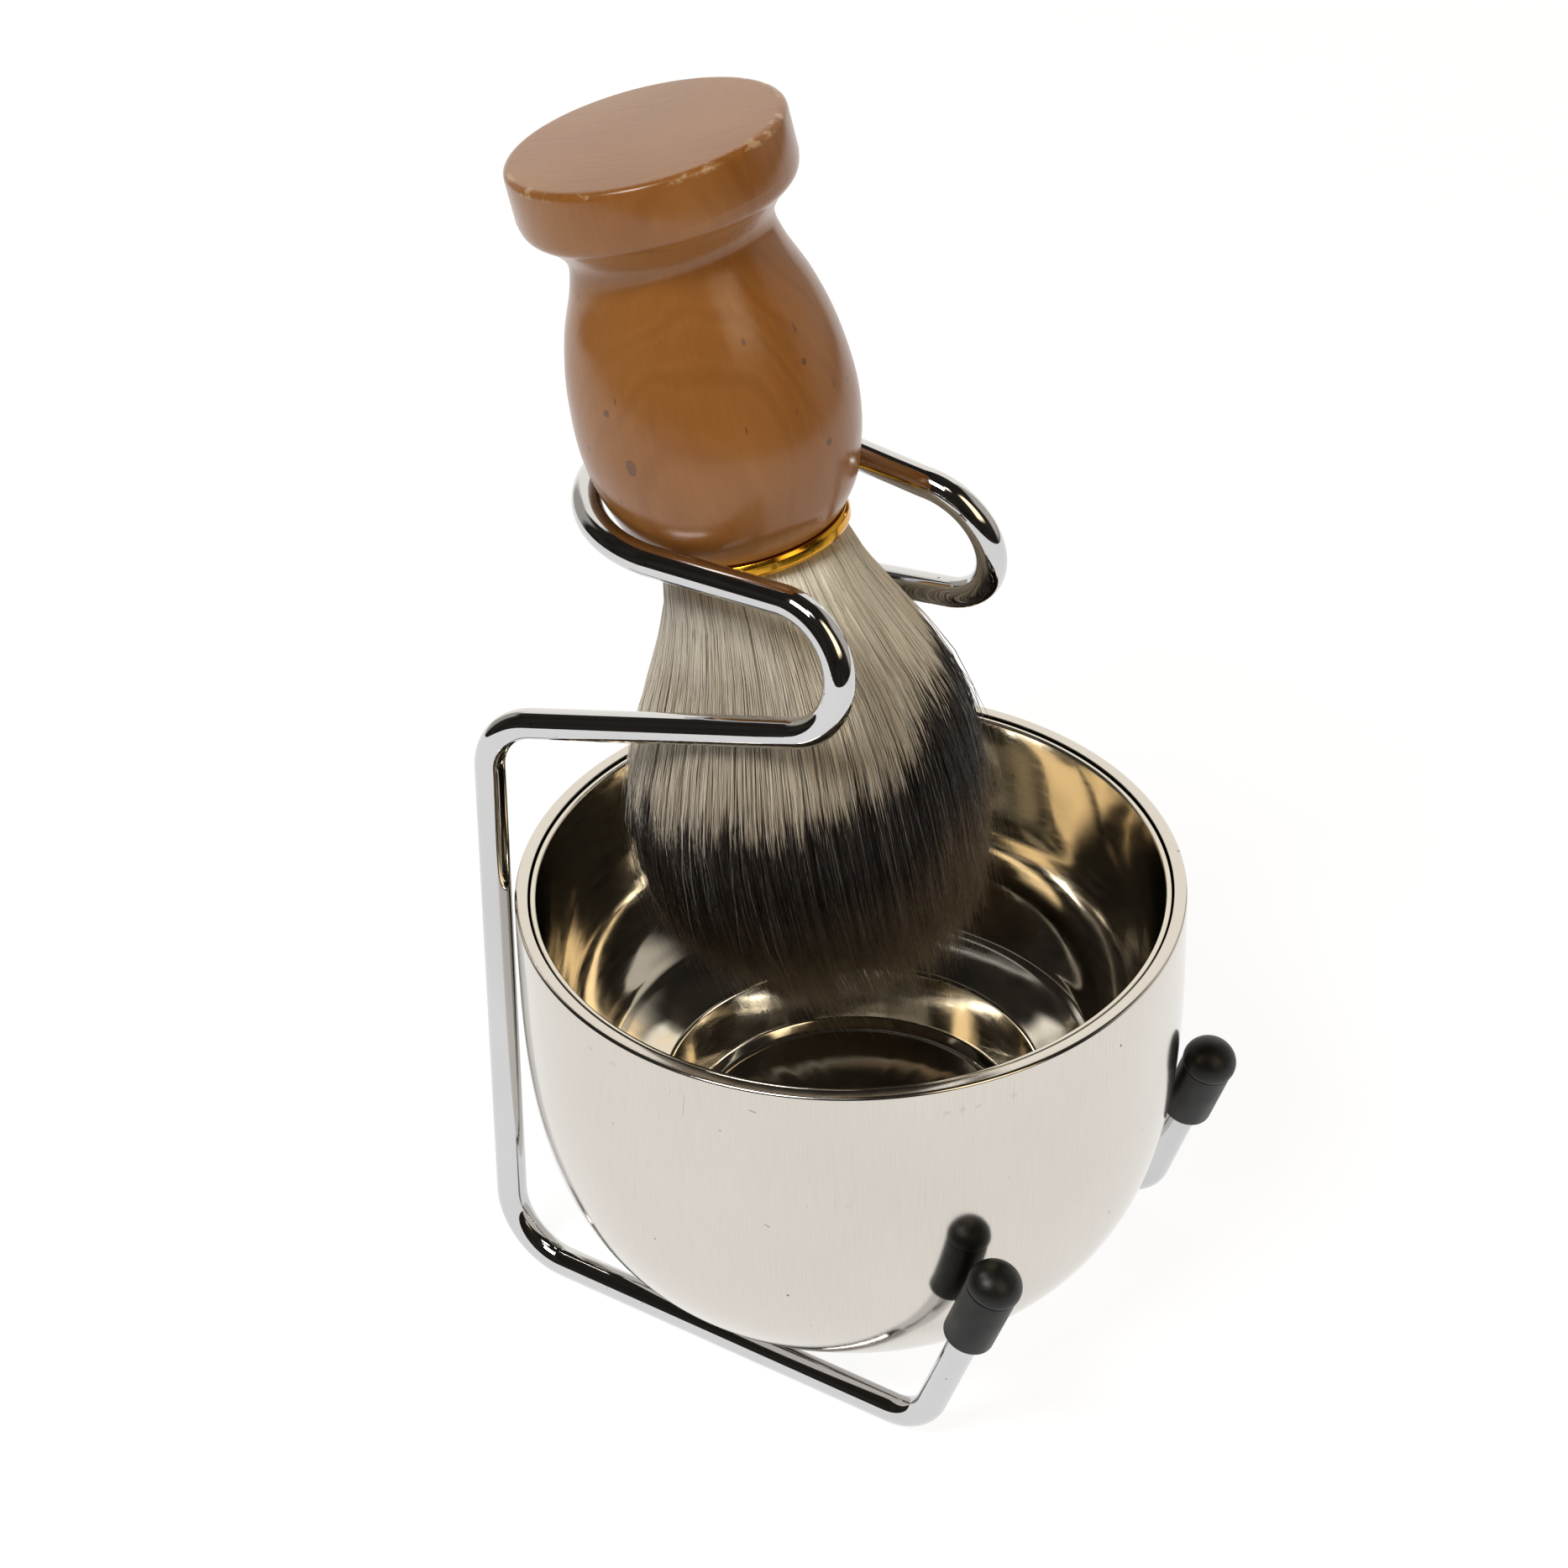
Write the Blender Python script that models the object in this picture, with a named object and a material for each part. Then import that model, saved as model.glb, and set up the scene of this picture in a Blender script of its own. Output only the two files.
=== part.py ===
"""Shaving set: a bent wire stand with rubber tips, a double-wall bowl standing in it, and a brush hanging in its loop.

Metres, +Z up. The set stands on z = 0 and faces -Y, with its origin in the middle of its footprint.
Every node has its own material. The bowl and the brush each hang under an empty at their joint.
"""

import math

import bmesh
import bpy
from mathutils import Matrix, Vector

MM = 0.001
GAP = 0.3 * MM  # left between neighbouring pieces

# Stand: one wire, bent alike on both sides of the x = 0 plane.
WIRE_RADIUS = 2.0 * MM
WIRE_BEVEL_STEPS = 3
BEND_STEP = math.radians(15)
FRONT_CORNER = Vector((27.9, -29.55, 2.0)) * MM
BACK_CORNER = Vector((28.2, 35.75, 2.0)) * MM
SHOULDER_CORNER = Vector((23.9, 38.05, 84.2)) * MM
FRONT_BEND = 6.5 * MM
BACK_BEND = 9.0 * MM
SHOULDER_BEND = 8.5 * MM
RISER_DIRECTION = Vector((-0.05, -0.35, 0.935)).normalized()
ARM_TILT = math.radians(15.5)  # the arms climb towards the front
HOOK_RADIUS = 8.7 * MM
HOOK_CENTRE = Vector((0, -2.4, 104.0)) * MM
ARM_HALF_SPAN = 18.2 * MM  # where an arm runs into its hook
HOOK_HALF_SPAN = 15.6 * MM  # where the hook runs back into the loop
LOOP_RADIUS = 17.4 * MM
LOOP_CENTRE_Y = 16.9 * MM

# Rubber tips, pushed on to the wire's two ends.
TIP_START = 18.6 * MM  # from the front corner, along the riser
TIP_BODY_RADIUS = 3.45 * MM
TIP_DOME_RADIUS = 3.6 * MM
TIP_BODY_LENGTH = 9.8 * MM
TIP_SOCKET_DEPTH = 9.0 * MM
TIP_SEGMENTS = 16

# Bowl: an outer and an inner pressed shell, joined at the rim.
BOWL_AXIS_Y = -0.75 * MM
BOWL_RADIUS = 43.3 * MM
BOWL_HEIGHT = 59.2 * MM
BOWL_SHOULDER_Z = 54.5 * MM  # the wall is upright above this
BOWL_ROUNDNESS = 3.3  # exponent of the wall's superellipse
BOWL_FOOT_RADIUS = 16.0 * MM
SHEET = 0.7 * MM
WALL_SPACE = 1.35 * MM
RIM_FLANGE = 1.7 * MM
BASIN_FLOOR_Z = 24.2 * MM  # where the inner wall's curve would level out
WELL_RIM_RADIUS = 24.9 * MM  # a round well for the soap, sunk in the basin's floor
WELL_WALL_RADIUS = 22.9 * MM
WELL_FLOOR_RADIUS = 21.6 * MM
WELL_FLOOR_Z = 17.7 * MM
WELL_CORNER = 1.4 * MM
BOWL_SEGMENTS = 44
WALL_STEPS = 7

# Brush: stations run down its axis from the middle of the cap's top face.
BRUSH_TOP = Vector((0, 27.6, 160.3)) * MM
BRUSH_LEAN = math.radians(15.1)
BRUSH_SEGMENTS = 28
CAP_RADIUS = 17.6 * MM
HANDLE_END = 52.4 * MM
BORE_RADIUS = 11.2 * MM
BORE_START = 43.0 * MM
COLLAR_RADIUS = 12.9 * MM
COLLAR_LENGTH = 1.8 * MM
HAIR_LENGTH = 63.0 * MM
HAIR_ROOT_RADIUS = 11.6 * MM
HAIR_FLARE = 11.6 * MM
WIDEST_SHARE = 0.58
HAIR_STEPS = 10


def clear_scene():
    for old in list(bpy.data.objects):
        bpy.data.objects.remove(old, do_unlink=True)


def material(name, colour, roughness, metallic=0.0):
    """A Principled material of one colour."""
    made = bpy.data.materials.new(name)
    made.use_nodes = True
    shader = made.node_tree.nodes["Principled BSDF"]
    shader.inputs["Base Color"].default_value = (*colour, 1.0)
    shader.inputs["Roughness"].default_value = roughness
    shader.inputs["Metallic"].default_value = metallic
    return made


def add_object(name, data, look):
    made = bpy.data.objects.new(name, data)
    bpy.context.scene.collection.objects.link(made)
    data.materials.append(look)
    return made


def add_empty(name, matrix):
    made = bpy.data.objects.new(name, None)
    bpy.context.scene.collection.objects.link(made)
    made.empty_display_size = 0.02
    made.matrix_world = matrix
    return made


def turned(name, outline, segments, look, centre_of=None):
    """A body turned about local Z from a closed outline of (radius, z) points, whose ends lie on the axis or meet.

    centre_of(z) moves each ring sideways along local Y, for a body that leans out of round.
    """
    mesh = bpy.data.meshes.new(name)
    body = bmesh.new()
    rings = []
    for radius, z in outline:
        shift = centre_of(z) if centre_of else 0.0
        if radius <= 0.0:
            rings.append([body.verts.new((0.0, shift, z))])
            continue
        turn = [2 * math.pi * step / segments for step in range(segments)]
        rings.append([body.verts.new((radius * math.cos(a), shift + radius * math.sin(a), z)) for a in turn])
    on_axis = len(rings[0]) == 1
    pairs = list(zip(rings, rings[1:])) + ([] if on_axis else [(rings[-1], rings[0])])
    for lower, upper in pairs:
        for step in range(segments):
            after = (step + 1) % segments
            if len(lower) == 1 and len(upper) == 1:
                continue
            if len(lower) == 1:
                body.faces.new((lower[0], upper[after], upper[step]))
            elif len(upper) == 1:
                body.faces.new((lower[step], lower[after], upper[0]))
            else:
                body.faces.new((lower[step], lower[after], upper[after], upper[step]))
    bmesh.ops.recalc_face_normals(body, faces=body.faces)
    body.to_mesh(mesh)
    body.free()
    mesh.shade_smooth()
    mesh.set_sharp_from_angle(angle=math.radians(35))
    return add_object(name, mesh, look)


def smooth_outline(points, steps):
    """A Catmull-Rom curve through (radius, station) points, with steps spans between each two."""
    ends = [points[0], *points, points[-1]]
    curve = []
    for before, start, end, after in zip(ends, ends[1:], ends[2:], ends[3:]):
        for step in range(steps):
            t = step / steps
            weights = (
                -0.5 * t + t * t - 0.5 * t**3,
                1 - 2.5 * t * t + 1.5 * t**3,
                0.5 * t + 2 * t * t - 1.5 * t**3,
                -0.5 * t * t + 0.5 * t**3,
            )
            four = (before, start, end, after)
            curve.append(tuple(sum(w * p[axis] for w, p in zip(weights, four)) for axis in (0, 1)))
    return curve + [points[-1]]


def bend(before, corner, after, radius):
    """Points along the arc that rounds a corner of the wire."""
    to_before = (before - corner).normalized()
    to_after = (after - corner).normalized()
    half = to_before.angle(to_after) / 2
    centre = corner + (to_before + to_after).normalized() * radius / math.sin(half)
    start = corner + to_before * radius / math.tan(half) - centre
    turning = math.pi - 2 * half
    spin_axis = start.cross(corner + to_after * radius / math.tan(half) - centre).normalized()
    steps = max(2, round(turning / BEND_STEP))
    return [centre + Matrix.Rotation(turning * step / steps, 3, spin_axis) @ start for step in range(steps + 1)]


def hook():
    """The turn from an arm, up and back into the loop's rail: an arc in an upright plane that closes inwards."""
    first = ARM_TILT - math.pi / 2
    sweep = math.pi / 2 - first
    steps = round(sweep / BEND_STEP)
    points = []
    for step in range(steps + 1):
        share = step / steps
        angle = first + sweep * share
        span = ARM_HALF_SPAN + (HOOK_HALF_SPAN - ARM_HALF_SPAN) * math.sqrt(share)
        points.append(HOOK_CENTRE + Vector((span, -HOOK_RADIUS * math.cos(angle), HOOK_RADIUS * math.sin(angle))))
    return points


def half_wire():
    """The wire's centre line on the +X side, from its end inside a rubber tip to the back of the loop."""
    wire_end = FRONT_CORNER + RISER_DIRECTION * (TIP_START + TIP_SOCKET_DEPTH - GAP)
    turn = hook()
    route = [wire_end]
    route += bend(wire_end, FRONT_CORNER, BACK_CORNER, FRONT_BEND)
    route += bend(FRONT_CORNER, BACK_CORNER, SHOULDER_CORNER, BACK_BEND)
    route += bend(BACK_CORNER, SHOULDER_CORNER, turn[0], SHOULDER_BEND)
    route += turn
    steps = round(math.pi / 2 / BEND_STEP)
    for step in range(steps + 1):
        angle = math.pi / 2 * step / steps
        loop_point = Vector((math.cos(angle), math.sin(angle), 0)) * LOOP_RADIUS
        route.append(loop_point + Vector((0, LOOP_CENTRE_Y, HOOK_CENTRE.z + HOOK_RADIUS)))
    return route


def stand_wire():
    right = half_wire()
    left = [Vector((-p.x, p.y, p.z)) for p in reversed(right[:-1])]
    route = right + left
    curve = bpy.data.curves.new("stand_wire", "CURVE")
    curve.dimensions = "3D"
    curve.bevel_depth = WIRE_RADIUS
    curve.bevel_resolution = WIRE_BEVEL_STEPS
    curve.use_fill_caps = True
    spline = curve.splines.new("POLY")
    spline.points.add(len(route) - 1)
    for point, place in zip(spline.points, route):
        point.co = (*place, 1.0)
    return add_object("stand_wire", curve, material("chrome_wire", (0.78, 0.79, 0.80), 0.06, 1.0))


def rubber_tip(name, side):
    """A push-on tip with a domed head. side is +1 or -1 in x."""
    dome = [math.radians(angle) for angle in (12, 34, 56, 76)]
    outline = [
        (WIRE_RADIUS + GAP, 0.0),
        (TIP_BODY_RADIUS - 0.4 * MM, 0.0),
        (TIP_BODY_RADIUS, 0.5 * MM),
        (TIP_BODY_RADIUS, TIP_BODY_LENGTH - 0.3 * MM),
        (TIP_DOME_RADIUS, TIP_BODY_LENGTH),
    ]
    outline += [(TIP_DOME_RADIUS * math.cos(a), TIP_BODY_LENGTH + TIP_DOME_RADIUS * math.sin(a)) for a in dome]
    outline.append((0.0, TIP_BODY_LENGTH + TIP_DOME_RADIUS))
    outline.reverse()
    outline += [(WIRE_RADIUS + GAP, TIP_SOCKET_DEPTH), (0.0, TIP_SOCKET_DEPTH)]
    tip = turned(name, outline, TIP_SEGMENTS, material(name + "_rubber", (0.02, 0.02, 0.022), 0.55))
    along = Vector((RISER_DIRECTION.x * side, RISER_DIRECTION.y, RISER_DIRECTION.z))
    corner = Vector((FRONT_CORNER.x * side, FRONT_CORNER.y, FRONT_CORNER.z))
    tip.rotation_mode = "QUATERNION"
    tip.rotation_quaternion = along.to_track_quat("Z", "Y")
    tip.location = corner + along * TIP_START
    return tip


def wall_curve(radius, floor_z, flat_radius):
    """A superellipse wall, as (radius, z) points from the edge of the flat floor up to the shoulder."""
    depth = BOWL_SHOULDER_Z - floor_z
    first = math.asin((flat_radius / radius) ** (BOWL_ROUNDNESS / 2))
    points = []
    for step in range(WALL_STEPS + 1):
        angle = first + (math.pi / 2 - first) * step / WALL_STEPS
        reach = math.sin(angle) ** (2 / BOWL_ROUNDNESS)
        drop = math.cos(angle) ** (2 / BOWL_ROUNDNESS) if step < WALL_STEPS else 0.0
        points.append((radius * reach, BOWL_SHOULDER_Z - depth * drop))
    return points


def bowl_outer_shell():
    """The outer pressing. Its rim turns in to a narrow flange."""
    rim_round = 0.8 * MM
    outside = [(0.0, 0.0), (BOWL_FOOT_RADIUS, 0.0)]
    outside += wall_curve(BOWL_RADIUS, 0.0, BOWL_FOOT_RADIUS + 1.5 * MM)
    outside += [(BOWL_RADIUS, BOWL_HEIGHT - rim_round), (BOWL_RADIUS - rim_round, BOWL_HEIGHT)]
    flange = [
        (BOWL_RADIUS - RIM_FLANGE, BOWL_HEIGHT),
        (BOWL_RADIUS - RIM_FLANGE, BOWL_HEIGHT - SHEET),
        (BOWL_RADIUS - SHEET, BOWL_HEIGHT - SHEET - 0.4 * MM),
    ]
    inside = wall_curve(BOWL_RADIUS - SHEET, SHEET, BOWL_FOOT_RADIUS + 1.5 * MM)
    inside.reverse()
    inside += [(BOWL_FOOT_RADIUS, SHEET), (0.0, SHEET)]
    look = material("satin_steel", (0.74, 0.72, 0.70), 0.28, 1.0)
    return turned("bowl_outer_shell", outside + flange + inside, BOWL_SEGMENTS, look)


def bowl_inner_shell():
    """The inner pressing, a basin with a sunken well. Its rim lies beside the outer shell's flange."""
    back = BOWL_RADIUS - SHEET - WALL_SPACE
    face = back - SHEET
    edge = BOWL_RADIUS - RIM_FLANGE - GAP
    under = WELL_FLOOR_Z - SHEET
    hidden = [(0.0, under), (WELL_FLOOR_RADIUS + SHEET / 2, under), (WELL_WALL_RADIUS + SHEET, under + WELL_CORNER)]
    hidden += wall_curve(back, BASIN_FLOOR_Z - SHEET, WELL_RIM_RADIUS + SHEET)
    hidden += [(back, BOWL_HEIGHT - SHEET - 0.4 * MM), (edge, BOWL_HEIGHT - SHEET)]
    rim = [(edge, BOWL_HEIGHT), (face + 0.25 * MM, BOWL_HEIGHT - 0.25 * MM), (face, BOWL_HEIGHT - 1.0 * MM)]
    seen = wall_curve(face, BASIN_FLOOR_Z, WELL_RIM_RADIUS)
    seen.reverse()
    seen += [(WELL_WALL_RADIUS, WELL_FLOOR_Z + WELL_CORNER), (WELL_FLOOR_RADIUS, WELL_FLOOR_Z), (0.0, WELL_FLOOR_Z)]
    look = material("mirror_steel", (0.66, 0.63, 0.58), 0.08, 1.0)
    return turned("bowl_inner_shell", hidden + rim + seen, BOWL_SEGMENTS, look)


def downwards(outline):
    """Turns (radius, station) points into (radius, z) points, with z down the brush."""
    return [(radius, -station) for radius, station in outline]


def brush_handle():
    """Turned wood: a flat cap, a waist, a round belly, and a bore for the knot in its lower end."""
    cap = [(0.0, 0.0), (CAP_RADIUS - 1.0 * MM, 0.0), (CAP_RADIUS - 0.2 * MM, 0.35 * MM), (CAP_RADIUS, 1.2 * MM)]
    shape = [(17.6, 6.4), (17.0, 8.3), (14.6, 10.4), (12.95, 13.2), (13.6, 17.0), (15.7, 22.6)]
    shape += [(17.15, 29.0), (17.7, 36.0), (17.2, 41.4), (16.0, 45.9), (14.85, 48.9), (12.7, 51.9)]
    body = smooth_outline([(radius * MM, station * MM) for radius, station in shape], 2)
    end = [(12.2 * MM, HANDLE_END), (BORE_RADIUS, HANDLE_END), (BORE_RADIUS, BORE_START), (0.0, BORE_START)]
    look = material("lacquered_wood", (0.47, 0.25, 0.11), 0.25)
    return turned("brush_handle", downwards(cap + body + end), BRUSH_SEGMENTS, look)


def brush_collar():
    """The gilt ring between the handle's end and the hair."""
    start = HANDLE_END + GAP
    outline = [
        (BORE_RADIUS, start),
        (COLLAR_RADIUS - 0.4 * MM, start),
        (COLLAR_RADIUS, start + 0.4 * MM),
        (COLLAR_RADIUS, start + COLLAR_LENGTH - 0.4 * MM),
        (COLLAR_RADIUS - 0.4 * MM, start + COLLAR_LENGTH),
        (BORE_RADIUS, start + COLLAR_LENGTH),
    ]
    look = material("gilt_ring", (0.75, 0.43, 0.07), 0.15, 1.0)
    return turned("brush_collar", downwards(outline), BRUSH_SEGMENTS, look)


def knot_plug():
    """The cast resin base of the hair knot, set in the handle's bore."""
    radius = BORE_RADIUS - GAP
    start = BORE_START + GAP
    end = HANDLE_END + GAP + COLLAR_LENGTH
    outline = [(0.0, start), (radius - 0.6 * MM, start), (radius, start + 0.6 * MM), (radius, end), (0.0, end)]
    look = material("knot_resin", (0.55, 0.47, 0.33), 0.4)
    return turned("knot_plug", downwards(outline), BRUSH_SEGMENTS, look)


def hair_radius(share):
    """The bundle's radius at a share of the hair's length, from its root to its domed tip."""
    flare = HAIR_ROOT_RADIUS + HAIR_FLARE * math.sin(math.pi / 2 * min(1.0, share / WIDEST_SHARE)) ** 1.5
    past = max(0.0, (share - WIDEST_SHARE) / (1 - WIDEST_SHARE))
    return flare * math.sqrt(1 - past**2.4)


def hair_sag(station):
    """How far the bundle's middle lies behind the brush's axis."""
    share = min(1.0, max(0.0, (station - HANDLE_END) / HAIR_LENGTH))
    return 2.4 * MM * math.sin(math.pi * share**2.2) - 0.9 * MM * math.sin(2 * math.pi * min(share, 0.5))


def bristle_knot():
    """The hair as one closed solid of the bundle's outer shape."""
    root = HANDLE_END + 2 * GAP + COLLAR_LENGTH
    outline = [(0.0, root)]
    for step in range(HAIR_STEPS):
        share = 1 - (1 - step / HAIR_STEPS) ** 1.35
        outline.append((hair_radius(share), root + share * HAIR_LENGTH))
    outline.append((0.0, root + HAIR_LENGTH))
    look = material("bristles", (0.62, 0.57, 0.48), 0.6)
    return turned("bristle_knot", downwards(outline), BRUSH_SEGMENTS, look, lambda z: hair_sag(-z))


def build():
    clear_scene()
    stand_wire()
    rubber_tip("tip_left", -1)
    rubber_tip("tip_right", 1)
    bowl_axis = add_empty("bowl_lift_axis", Matrix.Translation((0, BOWL_AXIS_Y, 0)))
    for shell in (bowl_outer_shell(), bowl_inner_shell()):
        shell.parent = bowl_axis
    brush_axis = add_empty("brush_axis", Matrix.Translation(BRUSH_TOP) @ Matrix.Rotation(-BRUSH_LEAN, 4, "X"))
    for piece in (brush_handle(), brush_collar(), knot_plug(), bristle_knot()):
        piece.parent = brush_axis
    bpy.context.view_layer.update()


build()
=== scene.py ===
"""Looks of the shaving set: a chrome wire stand with rubber tips, a double-wall steel bowl and a brush.

Metres, +Z up, in the frame of the CAD model. Each shape repeats the CAD model's own dimensions at a finer
resolution, and every detailed piece rides on the body of the node that it stands for.
"""

import math

import bpy
import numpy as np
from mathutils import Matrix, Vector


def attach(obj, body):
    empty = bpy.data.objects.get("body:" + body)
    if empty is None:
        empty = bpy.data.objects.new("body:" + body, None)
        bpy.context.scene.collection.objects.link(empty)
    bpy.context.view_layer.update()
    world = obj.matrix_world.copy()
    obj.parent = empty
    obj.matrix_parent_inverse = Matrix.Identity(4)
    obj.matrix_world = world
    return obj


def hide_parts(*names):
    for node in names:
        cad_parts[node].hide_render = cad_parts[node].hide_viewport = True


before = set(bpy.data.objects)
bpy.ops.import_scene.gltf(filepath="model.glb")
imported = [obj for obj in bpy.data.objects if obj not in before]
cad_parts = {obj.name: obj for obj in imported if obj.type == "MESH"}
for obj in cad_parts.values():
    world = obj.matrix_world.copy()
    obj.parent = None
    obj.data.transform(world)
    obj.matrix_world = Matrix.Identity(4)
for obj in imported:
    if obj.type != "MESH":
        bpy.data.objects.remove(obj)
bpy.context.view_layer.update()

MM = 0.001

# Stand
WIRE_RADIUS = 2.0 * MM
WIRE_SIDES = 28
BEND_STEP = math.radians(4)
FRONT_CORNER = Vector((27.9, -29.55, 2.0)) * MM
BACK_CORNER = Vector((28.2, 35.75, 2.0)) * MM
SHOULDER_CORNER = Vector((23.9, 38.05, 84.2)) * MM
FRONT_BEND = 6.5 * MM
BACK_BEND = 9.0 * MM
SHOULDER_BEND = 8.5 * MM
RISER_DIRECTION = Vector((-0.05, -0.35, 0.935)).normalized()
ARM_TILT = math.radians(15.5)
HOOK_RADIUS = 8.7 * MM
HOOK_CENTRE = Vector((0, -2.4, 104.0)) * MM
ARM_HALF_SPAN = 18.2 * MM
HOOK_HALF_SPAN = 15.6 * MM
LOOP_RADIUS = 17.4 * MM
LOOP_CENTRE_Y = 16.9 * MM

# Rubber tips
TIP_START = 18.6 * MM
TIP_BODY_RADIUS = 3.45 * MM
TIP_DOME_RADIUS = 3.6 * MM
TIP_BODY_LENGTH = 9.8 * MM
TIP_SOCKET_DEPTH = 9.0 * MM

# Bowl
BOWL_AXIS = Vector((0, -0.75, 0)) * MM
BOWL_RADIUS = 43.3 * MM
BOWL_HEIGHT = 59.2 * MM
BOWL_SHOULDER_Z = 54.5 * MM
BOWL_ROUNDNESS = 3.3
BOWL_FOOT_RADIUS = 16.0 * MM
SHEET = 0.7 * MM
WALL_SPACE = 1.35 * MM
RIM_FLANGE = 1.7 * MM
GAP = 0.3 * MM
BASIN_FLOOR_Z = 24.2 * MM
WELL_RIM_RADIUS = 24.9 * MM
WELL_WALL_RADIUS = 22.9 * MM
WELL_FLOOR_RADIUS = 21.6 * MM
WELL_FLOOR_Z = 17.7 * MM
WELL_CORNER = 1.4 * MM
DRAW_RING_RADIUS = 32.3 * MM  # a shallow ring pressed into the basin
DRAW_RING_DEPTH = 0.22 * MM
DRAW_RING_WIDTH = 0.5 * MM
BOWL_SEGMENTS = 256
WALL_STEPS = 48
NICKS = 10  # short dark nicks on the outer wall
SCRATCHES = 6  # long fine ones

# Brush: stations run down its axis from the middle of the cap's top face.
BRUSH_FRAME = Matrix.Translation(Vector((0, 27.6, 160.3)) * MM) @ Matrix.Rotation(math.radians(-15.1), 4, "X")
HANDLE_SEGMENTS = 160
CAP_RADIUS = 17.6 * MM
BELLY_RADIUS = 17.7 * MM
OVAL_DROP = 36.0 * MM  # a dark oval in the wood of the belly's left side, below the cap
DASHES = 8  # short dark dashes elsewhere in the belly
HANDLE_END = 52.4 * MM
BORE_RADIUS = 11.2 * MM
BORE_START = 43.0 * MM
COLLAR_RADIUS = 12.9 * MM
COLLAR_LENGTH = 1.8 * MM
HAIR_ROOT = HANDLE_END + 2 * GAP + COLLAR_LENGTH
HAIR_LENGTH = 63.0 * MM
HAIR_ROOT_RADIUS = 11.6 * MM
HAIR_FLARE = 11.6 * MM
WIDEST_SHARE = 0.58

SHARP_ANGLE = math.radians(35)  # edges sharper than this aren't smoothed


# ---- materials ----


def node(tree, kind, values=None, **settings):
    """Adds a shader node. A value that is a socket is linked, and any other is set on the input."""
    made = tree.nodes.new(kind)
    for key, setting in settings.items():
        setattr(made, key, setting)
    for key, value in (values or {}).items():
        if isinstance(value, bpy.types.NodeSocket):
            tree.links.new(value, made.inputs[key])
        else:
            made.inputs[key].default_value = value
    return made


def ramp(tree, factor, stops):
    """A colour ramp's colour output. stops are (position, colour), and a single number is a grey."""
    made = node(tree, "ShaderNodeValToRGB", {"Fac": factor})
    points = made.color_ramp.elements
    while len(points) < len(stops):
        points.new(0.5)
    for point, (position, colour) in zip(points, stops):
        point.position = position
        shade = colour if isinstance(colour, tuple) else (colour, colour, colour)
        point.color = (*shade, 1.0)
    return made.outputs["Color"]


def mix(tree, factor, first, second, blend="MIX"):
    made = node(tree, "ShaderNodeMix", data_type="RGBA", blend_type=blend)
    for socket, value in ((made.inputs[0], factor), (made.inputs[6], first), (made.inputs[7], second)):
        if isinstance(value, bpy.types.NodeSocket):
            tree.links.new(value, socket)
        else:
            socket.default_value = (*value, 1.0) if isinstance(value, tuple) else value
    return made.outputs[2]


def maths(tree, operation, *values):
    made = node(tree, "ShaderNodeMath", dict(enumerate(values)), operation=operation)
    return made.outputs[0]


def place(tree, scale=(1, 1, 1)):
    """The point on the object, in metres, scaled along each axis."""
    spot = node(tree, "ShaderNodeTexCoord").outputs["Object"]
    return node(tree, "ShaderNodeMapping", {"Vector": spot, "Scale": scale}).outputs[0]


def noise(tree, where, scale, detail=4.0, rough=0.5):
    values = {"Vector": where, "Scale": scale, "Detail": detail, "Roughness": rough}
    return node(tree, "ShaderNodeTexNoise", values).outputs["Fac"]


def bump(tree, height, distance, strength=1.0, normal=None):
    values = {"Height": height, "Distance": distance, "Strength": strength}
    if normal:
        values["Normal"] = normal
    return node(tree, "ShaderNodeBump", values).outputs[0]


def new_material(name, **values):
    """A Principled material. Returns it with its tree and its shader."""
    made = bpy.data.materials.new(name)
    made.use_nodes = True
    shader = made.node_tree.nodes["Principled BSDF"]
    for key, value in values.items():
        shader.inputs[key.replace("_", " ")].default_value = value
    return made, made.node_tree, shader


def feed(tree, shader, **sockets):
    for key, socket in sockets.items():
        tree.links.new(socket, shader.inputs[key.replace("_", " ")])


def chrome():
    """Bright plating with faint haze and a few dark pin holes."""
    made, tree, shader = new_material("chrome", Metallic=1.0)
    spot = place(tree)
    haze = noise(tree, spot, 180.0, 3.0)
    pits = ramp(tree, noise(tree, spot, 1300.0, 1.0), [(0.195, 0.0), (0.215, 1.0)])
    film = mix(tree, noise(tree, spot, 60.0, 2.0), (0.56, 0.56, 0.57), (0.66, 0.66, 0.67))
    ripple = noise(tree, spot, 420.0, 2.0)
    feed(
        tree,
        shader,
        Base_Color=mix(tree, pits, (0.10, 0.10, 0.10), film),
        Roughness=ramp(tree, haze, [(0.3, 0.03), (0.7, 0.07)]),
        Normal=bump(tree, ripple, 0.00002, 0.35),
    )
    return made


def rubber():
    """Matt black rubber, faintly dusty and finely grained."""
    made, tree, shader = new_material("rubber", IOR=1.42)
    spot = place(tree)
    dust = noise(tree, spot, 900.0, 5.0, 0.7)
    feed(
        tree,
        shader,
        Base_Color=ramp(tree, dust, [(0.45, 0.003), (0.75, 0.009)]),
        Roughness=ramp(tree, noise(tree, spot, 300.0), [(0.3, 0.36), (0.7, 0.50)]),
        Normal=bump(tree, noise(tree, spot, 3500.0, 3.0), 0.00004, 0.5),
    )
    return made


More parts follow.
